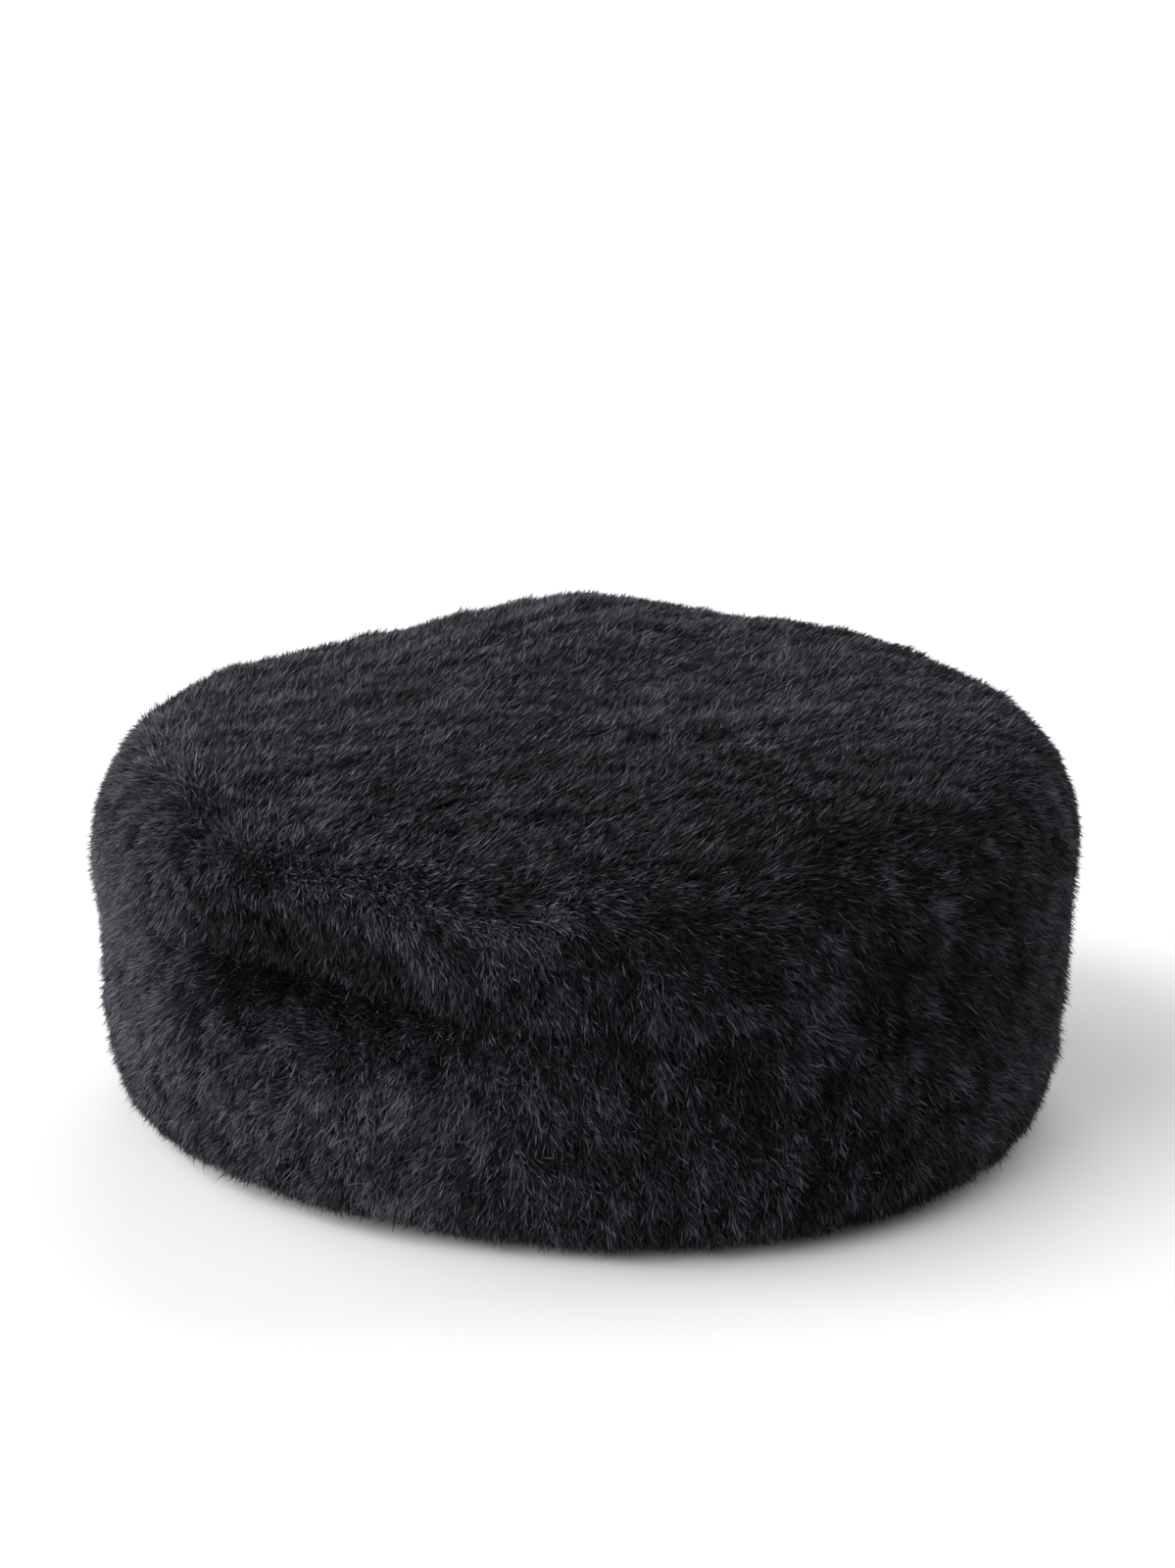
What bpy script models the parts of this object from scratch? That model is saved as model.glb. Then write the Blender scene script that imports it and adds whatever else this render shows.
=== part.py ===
"""Shearling pillbox hat.

A round top panel sits on a closed side band. Each one is a thick wall of skin and wool pile,
hollow over the head, and its outer form is laid in overlapping locks of wool. Metres, +Z up,
the wearer faces -Y, and the hem rests at Z = 0. A bearing is an angle round the hat in
degrees: 0 at the centre front, 90 at +X, 180 at the centre back seam.
"""

import math

import bpy
import bmesh
from mathutils import Vector

# Head opening, measured between the skins
HEAD_WIDTH = 0.180
HEAD_DEPTH = 0.198

# Wall from the skin to the tips of the pile, round the band
BAND_WALL = 0.0245

# The panels meet face to face, from the seam in the skins out to the valley in the pile
PANEL_GAP = 0.0003

OUTER_HALF_WIDTH = HEAD_WIDTH / 2 + BAND_WALL
OUTER_HALF_DEPTH = HEAD_DEPTH / 2 + BAND_WALL
MEAN_OUTER_RADIUS = (OUTER_HALF_WIDTH + OUTER_HALF_DEPTH) / 2

# Sections of the hat: reach is a share of the outer oval, or of the head oval for the skin
BAND_PILE_SECTION = (
    # name, reach, height
    ("hem flat", 0.935, 0.000),
    ("hem turn", 0.969, 0.004),
    ("hem roll", 0.987, 0.014),
    ("belly", 0.994, 0.031),
    ("upper band", 0.998, 0.047),
    ("valley", 1.002, 0.0590),
)
CROWN_PILE_SECTION = (
    # name, reach, height
    ("valley", 1.002, 0.0590),
    ("rim underside", 1.007, 0.0640),
    ("rim", 1.010, 0.0710),
    ("shoulder", 0.962, 0.0832),
    ("brow", 0.880, 0.0902),
    ("slope", 0.600, 0.0920),
    ("top", 0.300, 0.0925),
    ("centre", 0.000, 0.0930),
)
CROWN_SKIN_SECTION = (
    # name, reach, height
    ("seam", 1.000, 0.0665),
    ("corner", 0.920, 0.0705),
    ("ceiling", 0.500, 0.0720),
    ("centre", 0.000, 0.0725),
)
BAND_SKIN_HEIGHTS = (0.000, 0.022, 0.044, 0.0665)

# Dents and swells of the sides, each pushed out along the oval's radius
SIDE_FORMS = (
    # name, bearing, height, half span in degrees, half rise, push
    ("dent under the front roll", -34, 0.061, 38, 0.0205, -0.0120),
    ("hollow at the front right", 42, 0.058, 36, 0.024, -0.0018),
    ("front roll of the crown", -24, 0.081, 48, 0.012, 0.0030),
    ("full front right hem", 30, 0.006, 50, 0.045, 0.0052),
    ("drawn-in right hem", 95, 0.004, 50, 0.040, -0.0020),
    ("flat front left hem", -25, 0.005, 50, 0.040, -0.0024),
    ("full left side", -92, 0.044, 45, 0.050, 0.0018),
)

# Ridges and creases of the top, each raised along Z
TOP_FORMS = (
    # name, x, y, half length, half width, turn in degrees, rise
    ("peak at the back seam", -0.002, 0.082, 0.050, 0.060, 0, 0.0082),
    ("full back right", 0.055, 0.080, 0.050, 0.050, -30, 0.0025),
    ("ridge at the back left", -0.035, 0.062, 0.050, 0.020, 8, 0.0010),
    ("crease at the back left", -0.042, 0.040, 0.028, 0.010, 8, -0.0035),
    ("low back left", -0.062, 0.072, 0.045, 0.045, 0, -0.0020),
    ("sloping brow at the front", 0.000, -0.105, 0.090, 0.050, 0, -0.0040),
)

# Height over which the top's forms come in above the valley
TOP_FORM_BLEND = 0.030

# The hem lifts a little off the surface at the front left
HEM_LIFT_BEARING = -45
HEM_LIFT_HALF_SPAN = 55
HEM_LIFT = 0.0022

# The rolled rim droops over the band at the front
DROOP_BEARING = 12
DROOP_HALF_SPAN = 75
DROOP_HALF_RISE = 0.024
DROOP = 0.0055

# Locks of wool, three columns wide and three rows long in the grid
COLUMNS = 144
COLUMNS_PER_LOCK = 3
ROWS_PER_LOCK = 3
BAND_LOCK_ROWS = 4
LOCK_DEPTH = 0.0026
LOCK_VARIATION = 0.8
BAND_SLANT = -7
CROWN_SWIRL = 38

# The locks die out over these rows, towards the valley and the hem
EDGE_ROWS = 2

# Columns in each row of locks, from the valley to the middle of the top
CROWN_LOCK_COLUMNS = (144, 144, 144, 144, 72, 72, 72, 36, 36, 18)
SKIN_RING_COLUMNS = (144, 72, 36, 18)

WOOL_COLOUR = (0.016, 0.016, 0.019, 1.0)
WOOL_ROUGHNESS = 0.85


def clear_scene():
    """Remove the objects that a new file holds."""
    for old in list(bpy.data.objects):
        bpy.data.objects.remove(old)


def swell(distance):
    """A soft hump: 1 in the middle, 0 at a distance of 1 and beyond."""
    return 0.5 + 0.5 * math.cos(math.pi * min(abs(distance), 1.0))


def turn_between(bearing, other):
    """Signed turn in degrees from one bearing to another, the short way round."""
    return (bearing - other + 180) % 360 - 180


def oval_point(bearing, reach, height, half_width, half_depth):
    angle = math.radians(bearing)
    return Vector((half_width * reach * math.sin(angle), -half_depth * reach * math.cos(angle), height))


def curve_through(stations):
    """Evenly spaced fine points on a Catmull-Rom curve through a section's stations."""
    points = [Vector((reach * MEAN_OUTER_RADIUS, height)) for _, reach, height in stations]
    ends = [2 * points[0] - points[1]] + points + [2 * points[-1] - points[-2]]
    fine = []
    for before, start, end, after in zip(ends, ends[1:], ends[2:], ends[3:]):
        for step in range(24):
            t = step / 24
            fine.append(0.5 * (2 * start + (end - before) * t
                               + (2 * before - 5 * start + 4 * end - after) * t ** 2
                               + (3 * start - before - 3 * end + after) * t ** 3))
    fine.append(points[-1])
    return fine


class Section:
    """A section curve that is read by the share of its length, from its first station."""

    def __init__(self, stations):
        self.points = curve_through(stations)
        self.lengths = [0.0]
        for here, there in zip(self.points, self.points[1:]):
            self.lengths.append(self.lengths[-1] + (there - here).length)

    def at(self, share):
        """Reach and height at a share of the section's length."""
        wanted = min(max(share, 0.0), 1.0) * self.lengths[-1]
        index = 0
        while index < len(self.points) - 2 and self.lengths[index + 1] < wanted:
            index += 1
        span = self.lengths[index + 1] - self.lengths[index]
        place = self.points[index].lerp(self.points[index + 1], (wanted - self.lengths[index]) / span)
        return max(place.x, 0.0) / MEAN_OUTER_RADIUS, place.y


def hem_lift(bearing, height):
    """Rise of the lifted hem, which fades out up the band."""
    share = max(0.0, 1.0 - height / BAND_PILE_SECTION[-1][2])
    return HEM_LIFT * share * swell(turn_between(bearing, HEM_LIFT_BEARING) / HEM_LIFT_HALF_SPAN)


def top_rise(point):
    """Rise of the top's ridges and creases, none below the rim."""
    share = swell(1.0 - max(0.0, point.z - BAND_PILE_SECTION[-1][2]) / TOP_FORM_BLEND)
    rise = 0.0
    for _, x, y, half_length, half_width, turn, amount in TOP_FORMS:
        angle = math.radians(turn)
        along = (point.x - x) * math.cos(angle) + (point.y - y) * math.sin(angle)
        across = (point.y - y) * math.cos(angle) - (point.x - x) * math.sin(angle)
        rise += amount * swell(math.hypot(along / half_length, across / half_width))
    return share * rise


def formed(point, bearing):
    """Move a point of the plain oval form by the hat's dents, ridges, droop and lifted hem."""
    push = 0.0
    for _, centre, height, half_span, half_rise, amount in SIDE_FORMS:
        along = turn_between(bearing, centre) / half_span
        push += amount * swell(math.hypot(along, (point.z - height) / half_rise))
    flat = Vector((point.x, point.y, 0.0))
    moved = point + flat * push / MEAN_OUTER_RADIUS * min(1.0, flat.length / MEAN_OUTER_RADIUS) ** 3

    droop = swell(turn_between(bearing, DROOP_BEARING) / DROOP_HALF_SPAN)
    droop *= swell((point.z - BAND_PILE_SECTION[-1][2]) / DROOP_HALF_RISE)
    moved.z += top_rise(point) + hem_lift(bearing, point.z) - DROOP * droop
    return moved


def scatter(first, second):
    """A fixed number from 0 to 1 for each pair of whole numbers."""
    wave = math.sin(first * 12.9898 + second * 78.233) * 43758.5453
    return wave - math.floor(wave)


def lock_relief(lock_row, row_phase, lock_place):
    """Height of the locks, 0 to about 1.

    Locks hang end to end down the hat, and those side by side are half a lock apart. Each is
    full near its tip and thins to its root.
    """
    column = math.floor(lock_place)
    place = lock_row + row_phase + 0.5 * (column % 2)
    row = math.floor(place)
    size = 1.0 + LOCK_VARIATION * (scatter(column, row) - 0.5)
    across = math.sin(math.pi * (lock_place - column))
    along = math.sin(math.pi * (place - row) ** 0.6)
    return size * (0.25 + 0.75 * across) * (0.2 + 0.8 * along)


def lock_heights(row, rows):
    """The height function of one row of the grid, lower near both edges of its panel."""
    lock_row, row_phase = row // ROWS_PER_LOCK, (row % ROWS_PER_LOCK) / ROWS_PER_LOCK
    edge = min(1.0, row / EDGE_ROWS, (rows - row) / EDGE_ROWS)
    return lambda column: LOCK_DEPTH * edge * lock_relief(lock_row, row_phase, column / COLUMNS_PER_LOCK)


class Pile:
    """The pile's outer face on one panel: a section carried round the oval and formed."""

    def __init__(self, stations, lean):
        self.section = Section(stations)
        self.lean = lean

    def base(self, share, bearing):
        reach, height = self.section.at(share)
        plain = oval_point(bearing, reach, height, OUTER_HALF_WIDTH, OUTER_HALF_DEPTH)
        return formed(plain, bearing)

    def outward(self, share, bearing):
        step = 0.004
        share = min(max(share, step), 1.0 - 4 * step)
        up = self.base(share + step, bearing) - self.base(share - step, bearing)
        round_hat = self.base(share, bearing + 0.5) - self.base(share, bearing - 0.5)
        return round_hat.cross(up).normalized()

    def ring(self, share, count, heights=None):
        """One closed row of points; heights gives the wool's height at each column."""
        points = []
        for column in range(count):
            bearing = 360 * column / count + self.lean(share)
            point = self.base(share, bearing)
            if heights:
                point += self.outward(share, bearing) * heights(column)
            points.append(point)
        return points


class Shell:
    """A closed wall built from rings of points that are bridged one after another."""

    def __init__(self):
        self.mesh = bmesh.new()

    def ring(self, points):
        return [self.mesh.verts.new(point) for point in points]

    def bridge(self, lower, upper):
        """Join two rings of one count, or a ring to one with half its columns."""
        ratio = len(lower) // len(upper)
        count = len(upper)
        for j in range(count):
            k = (j + 1) % count
            if ratio == 1:
                self.mesh.faces.new((lower[j], lower[k], upper[k]))
                self.mesh.faces.new((lower[j], upper[k], upper[j]))
            else:
                first, middle, last = lower[2 * j], lower[2 * j + 1], lower[(2 * j + 2) % len(lower)]
                self.mesh.faces.new((first, middle, upper[j]))
                self.mesh.faces.new((middle, upper[k], upper[j]))
                self.mesh.faces.new((middle, last, upper[k]))

    def close(self, ring, point):
        """Fan a ring to its middle point."""
        pole = self.mesh.verts.new(point)
        for j, corner in enumerate(ring):
            self.mesh.faces.new((corner, ring[(j + 1) % len(ring)], pole))

    def finish(self, name, material):
        bmesh.ops.recalc_face_normals(self.mesh, faces=self.mesh.faces)
        data = bpy.data.meshes.new(name)
        self.mesh.to_mesh(data)
        self.mesh.free()
        data.shade_smooth()
        data.materials.append(material)
        panel = bpy.data.objects.new(name, data)
        bpy.context.scene.collection.objects.link(panel)
        return panel


def wool_material(name):
    material = bpy.data.materials.new(name)
    material.use_nodes = True
    shader = material.node_tree.nodes["Principled BSDF"]
    shader.inputs["Base Color"].default_value = WOOL_COLOUR
    shader.inputs["Roughness"].default_value = WOOL_ROUGHNESS
    shader.inputs["Metallic"].default_value = 0.0
    return material


def band_lean(share):
    """Columns of the band drift left towards the hem, as the wool hangs."""
    return BAND_SLANT * (1.0 - share)


def crown_lean(share):
    """Columns of the top turn as they leave the rim, as the wool is combed."""
    return CROWN_SWIRL * share ** 1.5


def skin_ring(reach, height, count, shift=0.0):
    """A plain row of points on the skin, over the head oval."""
    points = []
    for column in range(count):
        bearing = 360 * column / count + shift
        level = height + hem_lift(bearing, height)
        points.append(oval_point(bearing, reach, level, HEAD_WIDTH / 2, HEAD_DEPTH / 2))
    return points


def raised(points, amount):
    return [point + Vector((0.0, 0.0, amount)) for point in points]


def make_side_band():
    """Hem, pile, joining face and skin of the band, as one closed wall."""
    pile = Pile(BAND_PILE_SECTION, band_lean)
    shell = Shell()
    rows = BAND_LOCK_ROWS * ROWS_PER_LOCK
    rings = [shell.ring(pile.ring(0.0, COLUMNS))]
    for row in range(1, rows):
        rings.append(shell.ring(pile.ring(row / rows, COLUMNS, lock_heights(row, rows))))

    rings.append(shell.ring(raised(pile.ring(1.0, COLUMNS), -PANEL_GAP / 2)))
    rings.append(shell.ring(raised(skin_ring(1.0, BAND_SKIN_HEIGHTS[-1], COLUMNS), -PANEL_GAP / 2)))
    for height in reversed(BAND_SKIN_HEIGHTS[:-1]):
        shift = band_lean(height / BAND_SKIN_HEIGHTS[-1])
        rings.append(shell.ring(skin_ring(1.0, height, COLUMNS, shift)))
    for lower, upper in zip(rings, rings[1:] + rings[:1]):
        shell.bridge(lower, upper)
    return shell.finish("side_band", wool_material("band wool"))


def make_crown_tip():
    """Pile, joining face and skin of the round top, as one closed wall."""
    pile = Pile(CROWN_PILE_SECTION, crown_lean)
    shell = Shell()
    rows = len(CROWN_LOCK_COLUMNS) * ROWS_PER_LOCK
    rings = [shell.ring(raised(pile.ring(0.0, COLUMNS), PANEL_GAP / 2))]
    for row in range(1, rows):
        count = CROWN_LOCK_COLUMNS[row // ROWS_PER_LOCK]
        rings.append(shell.ring(pile.ring(row / rows, count, lock_heights(row, rows))))
    for lower, upper in zip(rings, rings[1:]):
        shell.bridge(lower, upper)
    shell.close(rings[-1], pile.base(1.0, 0.0))

    section = Section(CROWN_SKIN_SECTION)
    skin = [rings[0], shell.ring(raised(skin_ring(1.0, CROWN_SKIN_SECTION[0][2], COLUMNS), PANEL_GAP / 2))]
    for row, count in enumerate(SKIN_RING_COLUMNS):
        reach, height = section.at((row + 0.6) / len(SKIN_RING_COLUMNS))
        skin.append(shell.ring(skin_ring(reach, height, count)))
    for lower, upper in zip(skin, skin[1:]):
        shell.bridge(lower, upper)
    shell.close(skin[-1], Vector((0.0, 0.0, CROWN_SKIN_SECTION[-1][2])))
    return shell.finish("crown_tip", wool_material("crown wool"))


def main():
    clear_scene()
    make_side_band()
    make_crown_tip()


main()
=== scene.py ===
"""Looks of a shearling pillbox hat: its panels and seams, its black wool and a plain studio.

The pile is combed hair by hair. Roots stand in a bed of short wool, hairs gather in wisps, wisps
in locks, and the locks follow the comb strokes below. Metres, +Z up, the wearer faces -Y.
"""

import math
from functools import lru_cache

import bpy
import numpy as np
from bpy.props import FloatProperty, FloatVectorProperty, IntProperty, PointerProperty
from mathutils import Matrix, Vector
from mathutils.bvhtree import BVHTree
from mathutils.kdtree import KDTree


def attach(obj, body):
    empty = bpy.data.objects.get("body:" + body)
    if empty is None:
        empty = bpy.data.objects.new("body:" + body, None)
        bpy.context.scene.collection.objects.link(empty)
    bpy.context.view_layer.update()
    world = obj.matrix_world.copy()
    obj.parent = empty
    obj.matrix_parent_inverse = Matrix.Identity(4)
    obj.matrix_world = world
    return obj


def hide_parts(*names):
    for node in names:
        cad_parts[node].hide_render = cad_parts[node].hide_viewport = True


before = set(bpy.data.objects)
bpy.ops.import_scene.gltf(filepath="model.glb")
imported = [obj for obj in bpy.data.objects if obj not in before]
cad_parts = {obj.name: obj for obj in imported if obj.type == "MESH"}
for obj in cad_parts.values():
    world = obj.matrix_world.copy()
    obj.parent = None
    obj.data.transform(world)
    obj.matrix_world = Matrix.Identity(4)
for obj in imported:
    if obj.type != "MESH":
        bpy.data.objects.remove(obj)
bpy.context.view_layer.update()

bl_info = {
    "name": "Shearling Pillbox Hat",
    "version": (1, 0, 0),
    "blender": (4, 5, 0),
    "location": "3D View > Sidebar > Shearling Hat",
    "description": "Dresses the hat's two panels in combed black wool, skin and seams",
    "category": "Object",
}

# Head opening, measured between the skins
HEAD_HALF_WIDTH = 0.090
HEAD_HALF_DEPTH = 0.099

# A point is on the pile when it lies beyond this share of the head oval, or above this height
PILE_SHARE = 1.10
TOP_OF_SKIN = 0.080

# Below this height the underside of the hem counts as pile
HEM_TOP = 0.0045

# Rounds of smoothing that soften the faceted locks of the solids
SMOOTH_ROUNDS = 2

# Hair stays above the surface that the hat stands on, and tips at the hem spread this far up
LOWEST_HAIR = 0.0004
HEM_SPREAD = 0.0016

# Comb strokes: where the comb passes, which way it lays the tips of the wool, and how flat
STROKES = (
    ("left shoulder, back", (-0.083, 0.057, 0.088), (0.85, 0.45, 0.05), 1.40),
    ("over the left shoulder", (-0.112, -0.010, 0.078), (-0.30, 0.15, -0.92), 1.20),
    ("left of the top, back", (-0.080, 0.020, 0.091), (0.90, 0.40, 0.05), 1.30),
    ("left of the top", (-0.080, -0.020, 0.091), (0.92, 0.35, 0.05), 1.20),
    ("left edge of the top, front", (-0.107, -0.048, 0.076), (-0.30, 0.20, -0.92), 1.20),
    ("left of the whorl", (-0.088, -0.074, 0.085), (0.82, -0.20, -0.35), 1.60),
    ("front of the whorl", (-0.066, -0.094, 0.086), (0.86, -0.34, -0.30), 1.60),
    ("right of the whorl", (-0.050, -0.060, 0.092), (0.99, 0.05, 0.00), 1.70),
    ("middle of the top, left", (-0.056, -0.015, 0.092), (0.96, 0.25, 0.00), 1.70),
    ("back left of the top", (-0.054, 0.074, 0.091), (0.92, 0.35, 0.00), 1.60),
    ("middle left of the top", (-0.037, -0.033, 0.093), (0.98, 0.18, 0.00), 1.80),
    ("middle of the top", (-0.016, -0.029, 0.093), (0.98, 0.18, 0.00), 1.80),
    ("front of the top", (0.005, -0.045, 0.094), (0.99, 0.10, 0.00), 1.80),
    ("ridge at the back seam", (-0.020, 0.058, 0.097), (0.97, 0.20, 0.10), 1.60),
    ("right of the back seam", (0.022, 0.055, 0.096), (0.97, 0.20, 0.00), 1.70),
    ("back right of the top", (0.050, 0.058, 0.093), (0.98, 0.15, -0.05), 1.70),
    ("right of the top", (0.068, 0.010, 0.092), (1.00, 0.00, -0.05), 1.80),
    ("right side of the top, front", (0.045, -0.038, 0.093), (0.99, 0.05, 0.00), 1.80),
    ("right shoulder", (0.092, -0.020, 0.091), (0.88, -0.20, -0.40), 1.70),
    ("brow, left", (-0.037, -0.082, 0.092), (0.94, -0.28, 0.00), 1.80),
    ("brow, middle", (-0.008, -0.082, 0.092), (0.94, -0.28, 0.00), 1.80),
    ("brow, right", (0.026, -0.094, 0.091), (0.88, -0.40, -0.10), 1.80),
    ("brow, far right", (0.048, -0.086, 0.091), (0.90, -0.40, -0.12), 1.70),
    ("front right corner of the top", (0.075, -0.072, 0.091), (0.88, -0.20, -0.40), 1.60),
    ("right corner of the rim", (0.096, -0.057, 0.084), (0.72, -0.10, -0.68), 1.50),
    ("right edge of the rim", (0.114, -0.020, 0.076), (0.45, -0.10, -0.88), 1.40),
    ("rim, left", (-0.098, -0.068, 0.070), (-0.20, 0.20, -0.93), 1.20),
    ("rim, front left", (-0.071, -0.097, 0.080), (0.72, -0.25, -0.60), 1.60),
    ("roll, left", (-0.050, -0.111, 0.081), (0.80, -0.18, -0.52), 1.80),
    ("crest of the roll", (-0.036, -0.108, 0.086), (0.80, -0.44, -0.38), 1.80),
    ("roll, middle", (-0.021, -0.121, 0.079), (0.78, -0.15, -0.60), 1.80),
    ("roll, lower edge", (-0.034, -0.120, 0.074), (0.66, -0.05, -0.74), 1.70),
    ("roll, right", (0.015, -0.120, 0.081), (0.74, -0.28, -0.58), 1.70),
    ("under the roll, far left", (-0.082, -0.083, 0.067), (0.05, 0.00, -0.90), 0.60),
    ("under the roll, left", (-0.065, -0.091, 0.064), (0.20, 0.00, -0.90), 0.40),
    ("under the roll, left of the middle", (-0.047, -0.105, 0.062), (0.35, 0.00, -0.85), 0.50),
    ("under the roll, middle", (-0.004, -0.125, 0.068), (0.62, -0.05, -0.78), 1.60),
    ("rim, front right", (0.054, -0.109, 0.077), (0.70, 0.15, -0.70), 1.50),
    ("rim, right corner", (0.071, -0.095, 0.079), (0.77, 0.52, -0.40), 1.10),
    ("rim, right", (0.096, -0.070, 0.072), (0.40, 0.50, -0.77), 1.00),
    ("upper band, far left", (-0.098, -0.058, 0.050), (-0.30, 0.20, -0.90), 1.20),
    ("upper band, left", (-0.083, -0.080, 0.047), (-0.35, 0.10, -0.90), 1.20),
    ("bottom of the dent", (-0.055, -0.094, 0.054), (0.10, 0.05, -0.95), 0.50),
    ("valley, front", (-0.010, -0.120, 0.058), (0.36, 0.30, -0.88), 1.10),
    ("valley, front right", (0.025, -0.122, 0.058), (0.34, 0.30, -0.88), 1.00),
    ("upper band, right", (0.063, -0.096, 0.052), (0.10, 0.09, -0.99), 1.00),
    ("upper band, far right", (0.097, -0.061, 0.051), (0.42, 0.25, -0.87), 0.90),
    ("band, left", (-0.088, -0.078, 0.024), (-0.10, 0.10, -0.98), 1.10),
    ("band, front left", (-0.058, -0.106, 0.034), (-0.55, 0.20, -0.80), 1.10),
    ("band, left of the middle", (-0.030, -0.118, 0.035), (-0.55, 0.06, -0.82), 1.10),
    ("band, middle", (0.005, -0.124, 0.037), (-0.05, 0.00, -1.00), 0.90),
    ("band, front right", (0.035, -0.120, 0.034), (0.02, -0.05, -1.00), 0.90),
    ("band, right", (0.075, -0.094, 0.031), (0.06, 0.00, -1.00), 0.90),
    ("hem, front left", (-0.063, -0.098, 0.008), (-0.15, 0.20, -0.95), 0.70),
    ("hem, front", (-0.010, -0.119, 0.008), (-0.08, 0.10, -0.98), 0.70),
)

# How far a stroke combs, and how strongly and how flat the wool falls where no stroke reaches
STROKE_REACH = 0.014
NATURAL_FALL = 0.02
NATURAL_FLATNESS = 1.1

# Wool that falls by itself leans outward by this share on level places
OUTWARD_FALL = 0.4

# How readily strokes that nearly agree lay the wool down fully
AGREEMENT_GAIN = 1.3

# Ridges that the comb leaves in the wool: their size, how far they rise, and how much paler they are
# painted, a painted highlight on the raised crests and painted shade in the furrows
RIDGE_WIDTH = 0.0055
RIDGE_LENGTH = 0.024
RIDGE_RISE = 0.0006
RIDGE_PAINTED_LIGHT = 0.16
RIDGE_SEED = 51

# Places along a ridge where its field is read, and the waves that make up the field
RIDGE_SAMPLES = 9
RIDGE_WAVES = 24

# Wool that lies less flat than this is loose
LOOSE_BELOW = 1.1

# Loose wool strays and rises at its tips, sinks less at its roots, and has wider hairs
LOOSE_CRIMP = 1.0
LOOSE_RISE = 0.0006
LOOSE_SINK = 0.6
LOOSE_WIDTH = 0.4

# How much calmer the tips stray outward than along the form
OUTWARD_CALM = 0.85

# Rounds that space the locks evenly, and points scattered over each lock for that
SPACING_ROUNDS = 2
POINTS_PER_LOCK = 12

# Locks: spread of their direction, its slow drift and the size of that, and spread of their rise
LOCK_TURN = 0.22
LOCK_DRIFT = 0.30
LOCK_DRIFT_SIZE = 0.034
LOCK_RISE = 0.0005

# How many of the nearest locks a wisp may belong to
NEAR_LOCKS = 6

# A lock is this much longer, in the way that it lies, than it is wide
LOCK_STRETCH = 1.7

# From a lock's middle line to where its dome meets the form, as a share of the lock spacing
DOME_REACH = 0.6

# Ranges of length: of locks, wisps and hairs, as shares of the set length
LOCK_LENGTHS = (0.80, 1.20)
WISP_LENGTHS = (0.7, 1.2)
HAIR_LENGTHS = (0.74, 1.02)

# Ranges of hair width, and of how far a wisp stays open at its tips
HAIR_WIDTHS = (0.7, 1.2)
WISP_OPEN = (0.5, 1.0)

# Wisps: spread of their direction and rise, and how far they stray as a share of the crimp
WISP_TURN = 0.20
WISP_RISE = 0.0003
WISP_STRAY = 0.4

# Share of the wisps that stand out of the pile, and how far
STRAY_SHARE = 0.008
STRAY_RISE = (0.0003, 0.0010)

# Spreads of tone, on a scale from the darkest at 0 to the palest at 1, and a patch's size
LOCK_TONE = 0.11
PATCH_TONE = 0.09
PATCH_SIZE = 0.018
WISP_TONE = 0.07
HAIR_TONE = 0.25

# How quickly hairs pale with their tone
TONE_POWER = 2.4

# The map that the hairs' colours are read from, and a hair's width, root and tip on it
MAP_NAME = "OFBake"
HAIR_ON_MAP = 0.002
ROOT_ON_MAP = 0.30
TIP_ON_MAP = 0.70

# Where a hair is widest, as a share of its length
WIDEST_PLACE = 0.62

# The bed of the wool: how far it stands above the pile's depth, and how far it lifts at the hem
BED_RISE = 0.0004
HEM_LIFT = 0.0015

# Where the wool of the panels meets, how far it rises to fill the join, and how upright
JOIN_HEIGHT = 0.0585
JOIN_REACH = 0.0065
FILL = 0.0016
UPRIGHT_AT_JOIN = 0.45

# The seams inside: how far their middle lies in from the wall, and where they lie
SEAM_INSET = 0.0003
CROWN_SEAM_HEIGHT = 0.0662
BACK_SEAM_FOOT = 0.0040

# Points along the two seams and along a stitch, and sides of all their tubes
CROWN_SEAM_POINTS = 240
BACK_SEAM_POINTS = 30
STITCH_POINTS = 5
TUBE_SIDES = 6

# How far a stitch wraps to either side of the fold, and how far out it lies on it
STITCH_WRAP = math.radians(75)
STITCH_LIFT = 1.1

# Half the step over which a seam's direction is taken
SEAM_STEP = 0.0005

# How unevenly thick a sewn edge is, the size of that, and its seed
FOLD_WAVER = 0.10
FOLD_WAVER_SIZE = 0.02
FOLD_SEED = 61

# Painted shade: wool round the hem is painted darker
HEM_SHADE = 0.16
HEM_REACH = 0.009
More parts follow.
